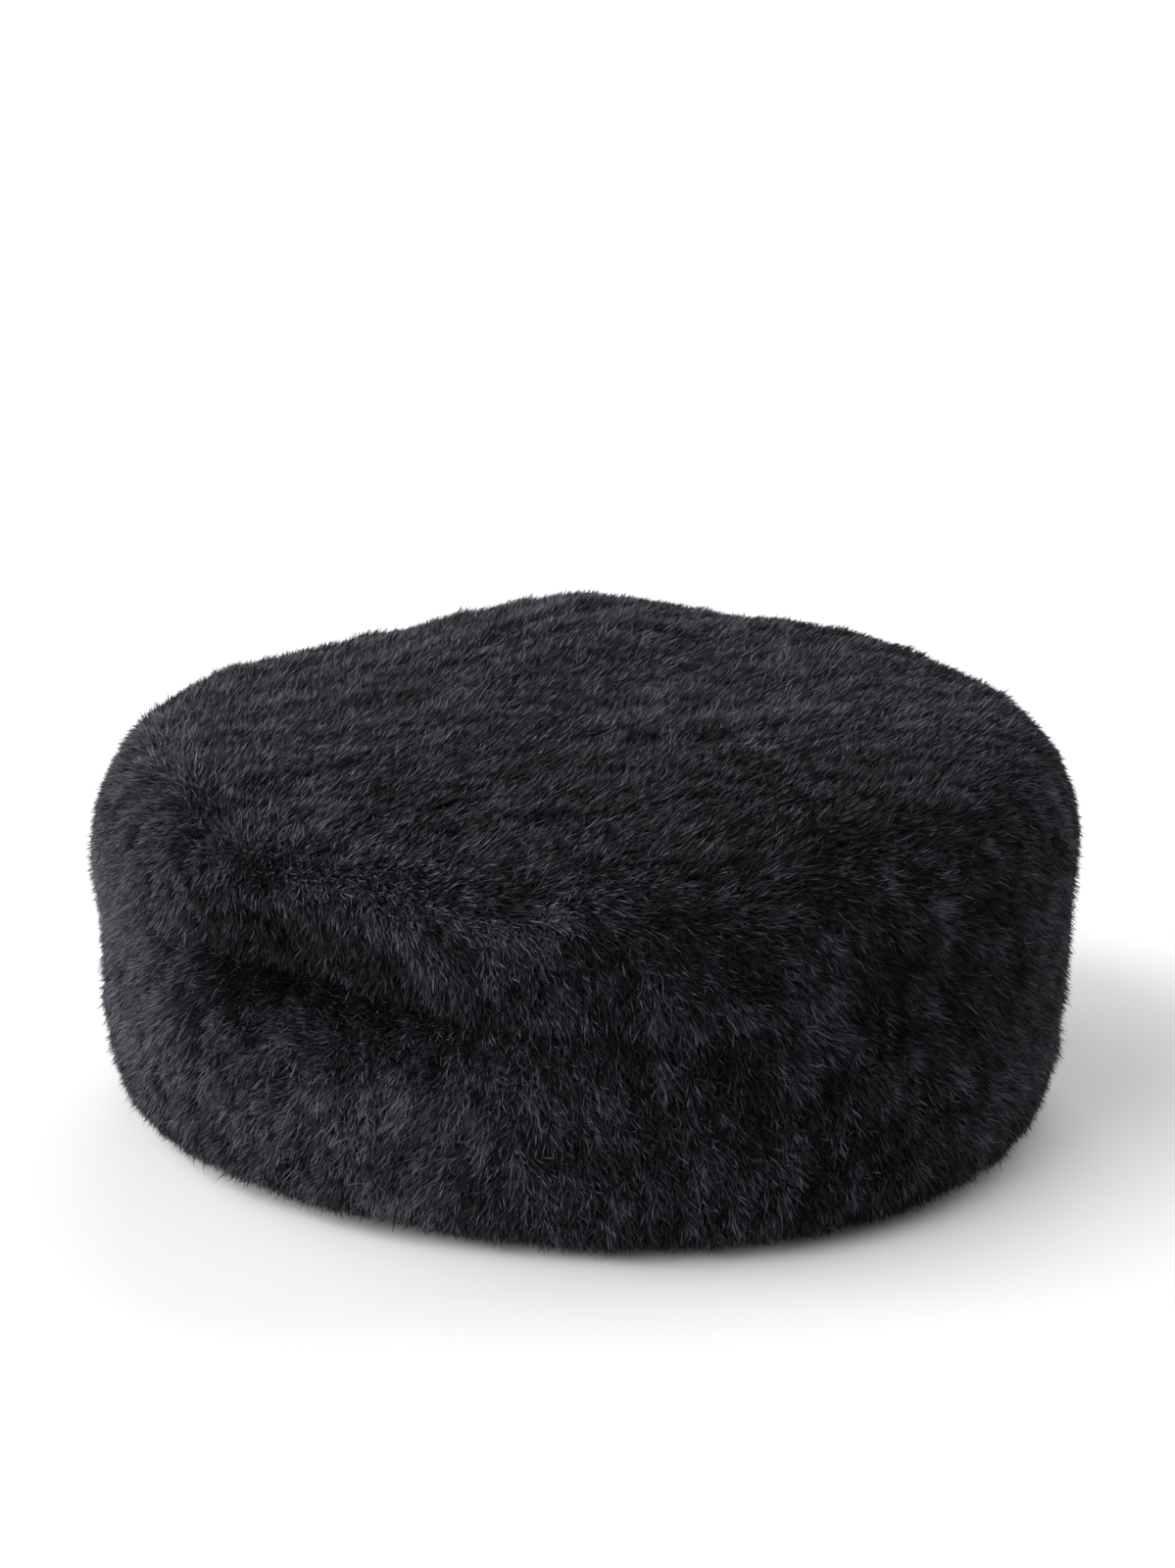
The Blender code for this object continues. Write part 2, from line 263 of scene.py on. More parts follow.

# Painted light and shade: places where the wool is painted paler, as painted light, and darker, as
# painted shade such as that of the dent under the roll: name, place, reach, and how much
PAINTED_LIGHT_AND_SHADE = (
    ("pale left side", (-0.118, -0.020, 0.060), 0.050, 0.32),
    ("pale left brow", (-0.058, -0.090, 0.090), 0.018, 0.14),
    ("pale whorl, back", (-0.092, -0.060, 0.087), 0.012, 0.24),
    ("pale whorl", (-0.079, -0.083, 0.088), 0.013, 0.40),
    ("pale roll, left", (-0.062, -0.103, 0.084), 0.012, 0.20),
    ("pale roll, middle", (-0.042, -0.116, 0.081), 0.013, 0.20),
    ("pale roll, right", (-0.018, -0.123, 0.077), 0.015, 0.16),
    ("dark dent, far left", (-0.080, -0.083, 0.062), 0.015, -0.22),
    ("dark dent, left", (-0.070, -0.092, 0.066), 0.015, -0.34),
    ("dark dent, middle", (-0.055, -0.101, 0.064), 0.014, -0.32),
    ("dark dent, right", (-0.038, -0.111, 0.061), 0.013, -0.28),
    ("dark dent, low", (-0.062, -0.094, 0.056), 0.016, -0.06),
    ("pale shoulder, far left", (-0.082, -0.084, 0.087), 0.011, 0.18),
    ("dark dent, far right", (-0.020, -0.120, 0.059), 0.012, -0.16),
    ("pale band below the dent", (-0.052, -0.106, 0.022), 0.032, 0.16),
    ("pale band, left of the middle", (-0.038, -0.114, 0.040), 0.016, 0.16),
    ("dark front of the top", (-0.015, -0.045, 0.093), 0.055, -0.18),
    ("pale back of the top", (0.000, 0.100, 0.094), 0.055, 0.20),
    ("dark right front", (0.052, -0.104, 0.066), 0.046, -0.21),
    ("dark right brow", (0.050, -0.098, 0.090), 0.022, -0.14),
    ("dark right of the top", (0.070, -0.058, 0.090), 0.040, -0.18),
)

# The way that the wool lies on level places where no stroke reaches
NAP = np.array([0.98, 0.20, 0.0])

# Layers of the pile: name, seed, height of the tips, how much paler or darker, length share. The lower
# underwool is painted darker and the top wool paler, painted shade down in the pile
CROWN_LAYERS = (
    ("crown_underwool", 11, -0.0010, -0.10, 0.90),
    ("crown_pile", 12, -0.0002, 0.00, 1.00),
    ("crown_top_wool", 13, 0.0004, 0.05, 1.10),
)
BAND_LAYERS = (
    ("band_underwool", 21, -0.0006, -0.06, 0.90),
    ("band_pile", 22, 0.0003, 0.04, 1.10),
)

# Seeds of the locks of each panel
CROWN_LOCKS_SEED = 31
BAND_LOCKS_SEED = 41

# The photo's frame in pixels, the camera's sensor in millimetres, and the studio floor
FRAME_HEIGHT = 1600
SENSOR = 36.0
FLOOR_RADIUS = 9.0
FLOOR_CORNERS = 96

# Soft lights: where each comes from, and how wide it is
KEY_FROM = (-0.84, -0.35, 0.41)
KEY_SPREAD = math.radians(80)
RIM_FROM = (0.50, 0.80, 0.33)
RIM_SPREAD = math.radians(80)
EDGE_FROM = (-0.85, 0.48, 0.20)
EDGE_SPREAD = math.radians(60)


class HatPileSettings(bpy.types.PropertyGroup):
    """Sizes of the wool."""

    depth: FloatProperty(
        name="Pile depth", description="From the outer form down to the roots of the hairs",
        default=0.0033, min=0.001, max=0.02, unit="LENGTH")
    run: FloatProperty(
        name="Run", description="How far a hair lies along the surface, from root to tip",
        default=0.0030, min=0.001, max=0.03, unit="LENGTH")
    hair_width: FloatProperty(
        name="Hair width", description="Width of one hair at its widest",
        default=0.00025, min=0.0001, max=0.002, unit="LENGTH")
    hairs_per_wisp: IntProperty(
        name="Hairs per wisp", description="Hairs that lean together",
        default=3, min=1, max=20)
    hairs_per_piece: IntProperty(
        name="Hairs per piece", description="Hairs in each layer of the pile",
        default=192000, min=1000, max=199000)
    wisp_radius: FloatProperty(
        name="Wisp radius", description="Radius of a wisp at its roots",
        default=0.0008, min=0.0001, max=0.01, unit="LENGTH")
    lock_spacing: FloatProperty(
        name="Lock spacing", description="Mean distance between locks",
        default=0.0050, min=0.001, max=0.03, unit="LENGTH")
    gather: FloatProperty(
        name="Gather", description="How far the wisps of a lock close towards its tip",
        default=0.28, min=0.0, max=1.0, subtype="FACTOR")
    dome: FloatProperty(
        name="Dome", description="How far the middle of a lock stands above its edges",
        default=0.0006, min=0.0, max=0.01, unit="LENGTH")
    crimp: FloatProperty(
        name="Crimp", description="How far the tips stray from their neighbours, as crimped wool does",
        default=0.0014, min=0.0, max=0.01, unit="LENGTH")
    follow: FloatProperty(
        name="Follow", description="How closely the hairs hug the form, against sticking straight on",
        default=0.90, min=0.0, max=1.0, subtype="FACTOR")


class HatColourSettings(bpy.types.PropertyGroup):
    """Colours of the wool and the skin."""

    # Painted shade: the roots, and the bed of the wool that shares their colour, are darker than most
    # tips, which deepens the shade down in the pile
    root: FloatVectorProperty(
        name="Root", description="Wool deep in the pile",
        default=(0.0080, 0.0080, 0.0102), size=3, min=0.0, max=1.0, subtype="COLOR")
    tip_dark: FloatVectorProperty(
        name="Dark tip", description="Tips of the darkest hairs",
        default=(0.0050, 0.0050, 0.0068), size=3, min=0.0, max=1.0, subtype="COLOR")
    tip_pale: FloatVectorProperty(
        name="Pale tip", description="Tips of the palest hairs",
        default=(0.114, 0.114, 0.138), size=3, min=0.0, max=1.0, subtype="COLOR")
    skin: FloatVectorProperty(
        name="Skin", description="Suede side of the skin, inside the hat",
        default=(0.021, 0.019, 0.019), size=3, min=0.0, max=1.0, subtype="COLOR")
    thread: FloatVectorProperty(
        name="Thread", description="Thread of the seams",
        default=(0.012, 0.012, 0.014), size=3, min=0.0, max=1.0, subtype="COLOR")


class HatSeamSettings(bpy.types.PropertyGroup):
    """The seams inside the hat."""

    fold_radius: FloatProperty(
        name="Fold radius", description="Radius of the sewn edges where they stand into the hat",
        default=0.0011, min=0.0003, max=0.005, unit="LENGTH")
    stitch_spacing: FloatProperty(
        name="Stitch spacing", description="From one overcast stitch to the next",
        default=0.0032, min=0.001, max=0.02, unit="LENGTH")
    stitch_slant: FloatProperty(
        name="Stitch slant", description="How far a stitch runs along the seam while it crosses it",
        default=0.0015, min=0.0, max=0.01, unit="LENGTH")
    thread_radius: FloatProperty(
        name="Thread radius", description="Radius of the sewing thread",
        default=0.00028, min=0.0001, max=0.002, unit="LENGTH")


class HatStageSettings(bpy.types.PropertyGroup):
    """Camera, floor and lights."""

    elevation: FloatProperty(
        name="Elevation", description="Camera's angle above the floor",
        default=math.radians(17), min=0.0, max=math.radians(89), subtype="ANGLE")
    distance: FloatProperty(
        name="Distance", description="From the camera to the point that it aims at",
        default=1.1, min=0.2, max=10.0, unit="LENGTH")
    aim_height: FloatProperty(
        name="Aim height", description="Height of the point that the camera aims at",
        default=0.046, min=0.0, max=1.0, unit="LENGTH")
    focal_pixels: FloatProperty(
        name="Focal length in pixels", description="Focal length, in pixels of the 1199 x 1600 frame",
        default=4650, min=500, max=20000)
    drop_pixels: FloatProperty(
        name="Drop in pixels", description="How far below the frame's middle the aimed point shows",
        default=120, min=-800, max=800)
    floor: FloatVectorProperty(
        name="Floor", description="Colour of the studio floor",
        default=(0.72, 0.72, 0.72), size=3, min=0.0, max=1.0, subtype="COLOR")
    key_strength: FloatProperty(
        name="Key strength", description="Strength of the soft light on the left",
        default=5.1, min=0, max=100)
    rim_strength: FloatProperty(
        name="Rim strength", description="Strength of the soft light at the back",
        default=3.0, min=0, max=100)
    edge_strength: FloatProperty(
        name="Edge strength", description="Strength of the soft light that skims the left edge",
        default=3.6, min=0, max=100)
    surroundings: FloatProperty(
        name="Surroundings", description="Brightness of the white surroundings",
        default=0.44, min=0.0, max=10.0)


def unit(vectors):
    """Vectors scaled to a length of 1."""
    lengths = np.linalg.norm(vectors, axis=-1, keepdims=True)
    return vectors / np.maximum(lengths, 1e-12)


def flatten(vectors, normals):
    """Vectors laid on the tangent planes of the normals, with a length of 1."""
    return unit(vectors - normals * np.sum(vectors * normals, axis=-1, keepdims=True))


def waves(points, size, seed, count=9):
    """A smooth, seeded field between about -1 and 1 that varies over the given size."""
    rng = np.random.default_rng(seed)
    directions = unit(rng.normal(size=(count, 3)))
    phases = rng.uniform(0, 2 * math.pi, count)
    scales = 2 * math.pi / (size * rng.uniform(0.7, 1.6, count))
    return np.sin(points @ directions.T * scales + phases).sum(axis=1) / math.sqrt(count)


def node_mesh(node):
    """A CAD node's points, welded, and its triangles."""
    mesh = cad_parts[node].data
    mesh.calc_loop_triangles()
    corners = np.zeros(len(mesh.vertices) * 3)
    mesh.vertices.foreach_get("co", corners)
    triangles = np.zeros(len(mesh.loop_triangles) * 3, dtype=np.int32)
    mesh.loop_triangles.foreach_get("vertices", triangles)
    keys = np.round(corners.reshape(-1, 3), 6)
    points, first = np.unique(keys, axis=0, return_inverse=True)
    return points, first.reshape(-1)[triangles].reshape(-1, 3)


def head_share(points):
    """Distance from the middle of the head opening, as a share of its oval."""
    return np.hypot(points[:, 0] / HEAD_HALF_WIDTH, points[:, 1] / HEAD_HALF_DEPTH)


def triangle_normals(points, triangles):
    """Normals whose lengths are the triangles' areas."""
    a, b, c = (points[triangles[:, k]] for k in range(3))
    return np.cross(b - a, c - a) / 2


def point_normals(points, triangles):
    normals = np.zeros_like(points)
    flat = triangle_normals(points, triangles)
    for k in range(3):
        np.add.at(normals, triangles[:, k], flat)
    return unit(normals)


class Panel:
    """One panel of the hat: its points, its triangles, and which of them carry the pile."""

    def __init__(self, node):
        self.points, self.triangles = node_mesh(node)
        share = head_share(self.points)
        on_pile = (share > PILE_SHARE) | (self.points[:, 2] > TOP_OF_SKIN)
        hem = self.points[:, 2] < HEM_TOP
        self.on_pile = on_pile
        self.on_hem = hem & ~on_pile
        covered = on_pile | self.on_hem
        self.is_pile = covered[self.triangles].all(axis=1) & on_pile[self.triangles].any(axis=1)
        self.is_skin = ~on_pile[self.triangles].any(axis=1)
        self.smooth()
        self.normals = point_normals(self.points, self.triangles[self.is_pile])

    def smooth(self):
        """Soften the faceted locks, with the panel's edges held."""
        faces = self.triangles[self.is_pile]
        edges = np.concatenate([faces[:, [0, 1]], faces[:, [1, 2]], faces[:, [2, 0]]])
        edges.sort(axis=1)
        edges, counts = np.unique(edges, axis=0, return_counts=True)
        held = np.zeros(len(self.points), dtype=bool)
        held[edges[counts == 1].ravel()] = True
        held[~self.on_pile] = True
        for _ in range(SMOOTH_ROUNDS):
            total = np.zeros_like(self.points)
            number = np.zeros(len(self.points))
            for here, there in ((0, 1), (1, 0)):
                np.add.at(total, edges[:, here], self.points[edges[:, there]])
                np.add.at(number, edges[:, here], 1)
            mean = total / np.maximum(number, 1)[:, None]
            free = ~held & (number > 0)
            self.points[free] += 0.5 * (mean[free] - self.points[free])

    def scatter(self, count, rng):
        """Points and normals spread evenly over the pile."""
        faces = self.triangles[self.is_pile]
        areas = np.linalg.norm(triangle_normals(self.points, faces), axis=1)
        steps = (np.arange(count) + rng.random(count)) / count * areas.sum()
        chosen = faces[np.searchsorted(np.cumsum(areas), steps).clip(0, len(faces) - 1)]
        first, second = np.sqrt(rng.random(count)), rng.random(count)
        weights = np.stack([1 - first, first * (1 - second), first * second], axis=1)
        places = np.einsum("ij,ijk->ik", weights, self.points[chosen])
        normals = unit(np.einsum("ij,ijk->ik", weights, self.normals[chosen]))
        return places, normals

    def area(self):
        faces = self.triangles[self.is_pile]
        return np.linalg.norm(triangle_normals(self.points, faces), axis=1).sum()


@lru_cache(maxsize=None)
def panel(node):
    return Panel(node)


@lru_cache(maxsize=None)
def outer_form():
    """The whole outer form of both panels, for finding the nearest place on it."""
    points = []
    triangles = []
    for node in ("crown_tip", "side_band"):
        part = panel(node)
        shift = sum(len(p) for p in points)
        points.append(part.points)
        triangles.append(part.triangles[part.is_pile] + shift)
    corners = np.concatenate(points).tolist()
    return BVHTree.FromPolygons(corners, np.concatenate(triangles).tolist())


def onto_form(places):
    """The nearest places on the outer form, and the normals there."""
    tree = outer_form()
    found = [tree.find_nearest(Vector(place))[:2] for place in places]
    return (np.array([tuple(place) for place, _ in found]),
            np.array([tuple(normal) for _, normal in found]))


def combed(places, normals):
    """Which way the wool lies at each place, and how flat."""
    level = np.clip(normals[:, 2:3], 0, 1) ** 2
    outward = unit(places * np.array([1.0, 1.0, 0.0]))
    fall = OUTWARD_FALL * level * outward + np.array([0.0, 0.0, -1.0])
    lay = NATURAL_FALL * (level * NAP + (1 - level) * fall)
    total = np.full((len(places), 1), NATURAL_FALL)
    flatness = total * NATURAL_FLATNESS
    for _, at, toward, flat in STROKES:
        distance = np.linalg.norm(places - np.array(at), axis=1, keepdims=True)
        weight = np.exp(-0.5 * (distance / STROKE_REACH) ** 2)
        lay = lay + weight * np.array(toward)
        total = total + weight
        flatness = flatness + weight * flat

    # Where strokes pull against each other the wool stands up, as it does at a whorl
    lay = lay - normals * np.sum(lay * normals, axis=1, keepdims=True)
    agreement = np.clip(AGREEMENT_GAIN * np.linalg.norm(lay, axis=1) / total[:, 0], 0, 1)
    flatness = (flatness / total)[:, 0] * agreement
    flatness *= 1 - UPRIGHT_AT_JOIN * filled(places) / FILL
    return unit(lay), flatness


def ridges(places, lay, seed):
    """Between about -1 and 1: narrow across the way that the wool lies, and long along it."""
    steps = np.linspace(-RIDGE_LENGTH / 2, RIDGE_LENGTH / 2, RIDGE_SAMPLES)
    fields = (waves(places + lay * step, RIDGE_WIDTH, seed, RIDGE_WAVES) for step in steps)
    return sum(fields) / math.sqrt(RIDGE_SAMPLES)


def filled(places):
    """How far the wool stands up to hide the join between the panels."""
    return FILL * np.exp(-((places[:, 2] - JOIN_HEIGHT) / JOIN_REACH) ** 2)


def painted_shading(places):
    """Painted light and shade: how much paler or darker the wool is painted at each place, with
    painted shade round the hem.
    """
    # Painted shade round the hem, then the painted light and shade of the table
    shift = -HEM_SHADE * np.exp(-(places[:, 2] / HEM_REACH) ** 2)
    for _, at, reach, amount in PAINTED_LIGHT_AND_SHADE:
        distance = np.linalg.norm(places - np.array(at), axis=1)
        shift += amount * np.exp(-(distance / reach) ** 2)
    return shift


def strayed(normals, size, rng):
    """Small seeded steps, most of them along the form and few of them out of it."""
    steps = rng.normal(0, size, normals.shape)
    return steps - OUTWARD_CALM * normals * np.sum(steps * normals, axis=1, keepdims=True)


def turned(directions, normals, angles):
    """Directions turned about the normals."""
    across = np.cross(normals, directions)
    return directions * np.cos(angles)[:, None] + across * np.sin(angles)[:, None]


class Locks:
    """Tufts of wool that lie side by side on one panel, each with its own lean."""

    def __init__(self, node, settings, seed):
        rng = np.random.default_rng(seed)
        part = panel(node)
        count = int(part.area() / settings.lock_spacing ** 2)
        places, normals = part.scatter(count, rng)
        samples, sample_normals = part.scatter(count * POINTS_PER_LOCK, rng)
        for _ in range(SPACING_ROUNDS):
            owner = nearest(places, samples)
            number = np.bincount(owner, minlength=count)[:, None]
            total = np.zeros_like(places)
            np.add.at(total, owner, samples)
            lean = np.zeros_like(places)
            np.add.at(lean, owner, sample_normals)
            places = np.where(number > 0, total / np.maximum(number, 1), places)
            normals = unit(np.where(number > 0, lean, normals))
        self.places = places
        lay, flatness = combed(places, normals)
        drift = LOCK_DRIFT * waves(places, LOCK_DRIFT_SIZE, seed + 1)
        drift += rng.normal(0, LOCK_TURN, count)
        self.lay = turned(lay, normals, drift)
        bend = np.sqrt(2 / (1 + flatness ** 2))
        self.run = settings.run * flatness * bend * rng.uniform(*LOCK_LENGTHS, count)
        self.loose = np.clip(LOOSE_BELOW - flatness, 0, 1)
        self.sink = settings.depth * bend * (1 - LOOSE_SINK * self.loose)
        self.rise = rng.normal(0, LOCK_RISE, count)
        self.tone = rng.normal(0, LOCK_TONE, count)
        self.tone += PATCH_TONE * waves(places, PATCH_SIZE, seed + 2)
        self.tips = onto_form(places + self.lay * self.run[:, None])[0]

    def owners(self, places):
        """The lock that each place belongs to. A lock is long in the way that it lies."""
        tree = KDTree(len(self.places))
        for index, place in enumerate(self.places):
            tree.insert(place, index)
        tree.balance()
        near = np.array([[index for _, index, _ in tree.find_n(place, NEAR_LOCKS)]
                         for place in places])
        away = places[:, None, :] - self.places[near]
        along = np.sum(away * self.lay[near], axis=2)
        across = np.linalg.norm(away, axis=2) ** 2 - along ** 2
        cost = (along / LOCK_STRETCH) ** 2 + across
        return near[np.arange(len(places)), cost.argmin(axis=1)]


def nearest(targets, places):
    tree = KDTree(len(targets))
    for index, target in enumerate(targets):
        tree.insert(target, index)
    tree.balance()
    return np.array([tree.find(place)[1] for place in places])


def grow_hairs(node, locks, layer, settings):
    """Roots, tips, widths and tones of one layer's hairs."""
    _, seed, height, tone_shift, length_share = layer
    rng = np.random.default_rng(seed)
    each = settings.hairs_per_wisp
    count = settings.hairs_per_piece // each
    places, normals = panel(node).scatter(count, rng)
    owner = locks.owners(places)

    lay = turned(locks.lay[owner], normals, rng.normal(0, WISP_TURN, count))
    lay = flatten(lay, normals)
    run = locks.run[owner] * length_share * rng.uniform(*WISP_LENGTHS, count)
    straight = places + lay * run[:, None]
    hugging, hug_normals = onto_form(straight)
    ends = straight + settings.follow * (hugging - straight)

    # Wisps close in on the middle line of their lock, and those at its edges lie lower
    away = hugging - locks.tips[owner]
    aside = away - np.sum(away * locks.lay[owner], axis=1, keepdims=True) * locks.lay[owner]
    reach = np.linalg.norm(aside, axis=1) / settings.lock_spacing
    ends = ends - settings.gather * aside
    dome = settings.dome * (1 - np.clip(reach / DOME_REACH, 0, 1.5) ** 2)
    rise = height + locks.rise[owner] + dome
    ridge = ridges(places, lay, RIDGE_SEED)
    rise += rng.normal(0, WISP_RISE, count) + RIDGE_RISE * ridge + filled(hugging)
    rise += LOOSE_RISE * locks.loose[owner]
    stray = rng.random(count) < STRAY_SHARE
    rise = np.where(stray, rise + rng.uniform(*STRAY_RISE, count), rise)
    shift = hug_normals * rise[:, None]
    shift += strayed(hug_normals, WISP_STRAY * settings.crimp, rng)
    ends += shift

    # Each wisp's hairs stand in a small round patch and lean the same way
    total = count * each
    wisp = np.repeat(np.arange(count), each)
    normal = normals[wisp]
    line = lay[wisp]
    across = np.cross(normal, line)
    radius = settings.wisp_radius * np.sqrt(rng.random(total))
    angle = rng.uniform(0, 2 * math.pi, total)
    offset = line * (radius * np.cos(angle))[:, None]
    offset += across * (radius * np.sin(angle))[:, None]
    roots = places[wisp] + offset - normal * locks.sink[owner][wisp][:, None]
    tips = ends[wisp] + offset * rng.uniform(*WISP_OPEN, total)[:, None]
    loose = locks.loose[owner][wisp]
    tips += strayed(hug_normals[wisp], settings.crimp, rng) * (1 + LOOSE_CRIMP * loose)[:, None]

    # Hairs differ in length
    tips = roots + (tips - roots) * rng.uniform(*HAIR_LENGTHS, total)[:, None]

    low = tips[:, 2] < LOWEST_HAIR
    tips[low, 2] = LOWEST_HAIR + HEM_SPREAD * rng.random(low.sum())
    roots[:, 2] = np.maximum(roots[:, 2], LOWEST_HAIR)

    # Each hair is turned about its own length
    roll = rng.uniform(-math.pi / 2, math.pi / 2, total)
    axis = unit(tips - roots)
    side = unit(np.cross(axis, normal))
    out = np.cross(side, axis)
    blade = side * np.cos(roll)[:, None] + out * np.sin(roll)[:, None]
    width = settings.hair_width * rng.uniform(*HAIR_WIDTHS, total) * (1 + LOOSE_WIDTH * loose)

    # Painted light and shade from the table and round the hem adds to the tones that differ at random
    shade = tone_shift + locks.tone[owner] + painted_shading(ends)
    # Painted highlight on the ridges' raised crests and painted shade in their furrows, with tone that
    # differs at random from wisp to wisp
    shade += RIDGE_PAINTED_LIGHT * ridge + rng.normal(0, WISP_TONE, count)
    tone = 0.5 + shade[wisp]
    tone += rng.normal(0, HAIR_TONE, total)
    return roots, tips, blade * width[:, None], np.clip(tone, 0.01, 0.99)


def hair_mesh(name, hairs):
    """One mesh of hairs, each a long triangle that points both at its root and at its tip."""
    roots, tips, blade, tone = hairs
    count = len(roots)
    widest = roots + WIDEST_PLACE * (tips - roots) + blade
    points = np.stack([roots, widest, tips], axis=1)
    mesh = bpy.data.meshes.new(name)
    mesh.vertices.add(3 * count)
    mesh.vertices.foreach_set("co", points.ravel())
    mesh.loops.add(3 * count)
    mesh.loops.foreach_set("vertex_index", np.arange(3 * count, dtype=np.int32))
    mesh.polygons.add(count)
    mesh.polygons.foreach_set("loop_start", np.arange(0, 3 * count, 3, dtype=np.int32))
    mesh.update(calc_edges=True)

    # Across the map a hair takes its tone, and up the map it runs from root to tip
    places = np.empty((count, 3, 2))
    places[:, :, 0] = tone[:, None] + np.array([-1, 1, -1]) * HAIR_ON_MAP / 2
    places[:, :, 1] = ROOT_ON_MAP + np.array([0, WIDEST_PLACE, 1]) * (TIP_ON_MAP - ROOT_ON_MAP)
    layer = mesh.uv_layers.new(name=MAP_NAME)
    layer.data.foreach_set("uv", places.ravel())
    return mesh


def new_object(name, mesh):
    piece = bpy.data.objects.new(name, mesh)
    bpy.context.scene.collection.objects.link(piece)
    return piece


def plain_mesh(name, points, faces):
    mesh = bpy.data.meshes.new(name)
    mesh.from_pydata(points, [], faces)
    mesh.shade_smooth()
    return mesh


class Nodes:
    """Short ways to add nodes to a shader tree and join them."""

    def __init__(self, tree):
        self.tree = tree
        self.column = 0

    def add(self, kind, inputs=(), **settings):
        node = self.tree.nodes.new(kind)
        node.location = (180 * self.column, 0)
        self.column += 1
        for key, value in settings.items():
            setattr(node, key, value)
        for socket, value in dict(inputs).items():
            if isinstance(value, bpy.types.NodeSocket):
                self.tree.links.new(value, node.inputs[socket])
            else:
                node.inputs[socket].default_value = value
        return node

    def math(self, operation, first, second=0.0):
        return self.add("ShaderNodeMath", {0: first, 1: second}, operation=operation).outputs[0]

    def mix(self, factor, first, second):
        node = self.add("ShaderNodeMix", data_type="RGBA")
        for socket, value in ((0, factor), (6, first), (7, second)):
            if isinstance(value, bpy.types.NodeSocket):
                self.tree.links.new(value, node.inputs[socket])
            else:
                node.inputs[socket].default_value = value
        return node.outputs[2]


def new_group(name, inputs, outputs):
    """A shader node group with named sockets, and its first and last nodes."""
    group = bpy.data.node_groups.new(name, "ShaderNodeTree")
    for in_out, sockets in (("INPUT", inputs), ("OUTPUT", outputs)):
        for socket, kind in sockets:
            group.interface.new_socket(socket, in_out=in_out, socket_type="NodeSocket" + kind)
    nodes = Nodes(group)
    return group, nodes, nodes.add("NodeGroupInput"), nodes.add("NodeGroupOutput")


@lru_cache(maxsize=None)
def mottle_group():
    """Soft uneven colour and a fine nap, for the bed, the suede, the thread and the floor."""
    group, nodes, given, result = new_group(
        "soft mottle",
        (("Colour", "Color"), ("Deep Colour", "Color"),
         ("Patch Size", "Float"), ("Nap Size", "Float")),
        (("Colour", "Color"), ("Height", "Float")))
    place = nodes.add("ShaderNodeTexCoord").outputs["Object"]
    patches = nodes.add("ShaderNodeTexNoise", {
        "Vector": place, "Scale": nodes.math("DIVIDE", 1.0, given.outputs["Patch Size"]),
        "Detail": 4.0, "Roughness": 0.6})
    nap = nodes.add("ShaderNodeTexNoise", {
        "Vector": place, "Scale": nodes.math("DIVIDE", 1.0, given.outputs["Nap Size"]),
        "Detail": 3.0, "Roughness": 0.7})
    both = nodes.math("ADD", nodes.math("MULTIPLY", patches.outputs["Fac"], 0.6),
                      nodes.math("MULTIPLY", nap.outputs["Fac"], 0.4))
    spread = nodes.add("ShaderNodeMapRange", {0: both, 1: 0.35, 2: 0.65, 3: 0.0, 4: 1.0})
    colour = nodes.mix(spread.outputs[0], given.outputs["Deep Colour"], given.outputs["Colour"])
    group.links.new(colour, result.inputs["Colour"])
    group.links.new(nap.outputs["Fac"], result.inputs["Height"])
    return group


def new_material(name):
    material = bpy.data.materials.new(name)
    material.use_nodes = True
    nodes = Nodes(material.node_tree)
    return material, nodes, material.node_tree.nodes["Principled BSDF"]


def with_alpha(colour, share=1.0):
    return tuple(channel * share for channel in colour) + (1.0,)


@lru_cache(maxsize=None)
def hair_material():
    """Black wool: one colour at the roots, darker than most tips as painted shade deep in the pile,
    and tips that differ in tone.
    """
    colours = bpy.context.scene.hat_colours
    material, nodes, shader = new_material("combed black wool")
    place = nodes.add("ShaderNodeUVMap", uv_map=MAP_NAME).outputs[0]
    split = nodes.add("ShaderNodeSeparateXYZ", {0: place})
    tone = nodes.math("POWER", split.outputs["X"], TONE_POWER)
    tip = nodes.mix(tone, with_alpha(colours.tip_dark), with_alpha(colours.tip_pale))
    along = nodes.add("ShaderNodeMapRange", {
        0: split.outputs["Y"], 1: ROOT_ON_MAP, 2: TIP_ON_MAP, 3: 0.0, 4: 1.0},
        interpolation_type="SMOOTHSTEP")
    # The hair darkens from tip to root, painted shade down in the pile
    colour = nodes.mix(along.outputs[0], with_alpha(colours.root), tip)
    material.node_tree.links.new(colour, shader.inputs["Base Color"])
    shader.inputs["Roughness"].default_value = 0.55
    shader.inputs["Specular IOR Level"].default_value = 0.10
    return material


def mottled_material(name, colour, deep_share, patch, nap, roughness, bump, distance):
    """A matt surface on the soft mottle group: deep share, patches and nap in metres, relief."""
    material, nodes, shader = new_material(name)
    mottle = nodes.add("ShaderNodeGroup", node_tree=mottle_group())
    for socket, value in (("Colour", with_alpha(colour)),
                          ("Deep Colour", with_alpha(colour, deep_share)),
                          ("Patch Size", patch),
                          ("Nap Size", nap)):
        mottle.inputs[socket].default_value = value
    links = material.node_tree.links
    links.new(mottle.outputs["Colour"], shader.inputs["Base Color"])
    relief = nodes.add("ShaderNodeBump", {"Height": mottle.outputs["Height"],
                                          "Strength": bump, "Distance": distance})
    links.new(relief.outputs[0], shader.inputs["Normal"])
    shader.inputs["Roughness"].default_value = roughness
    return material


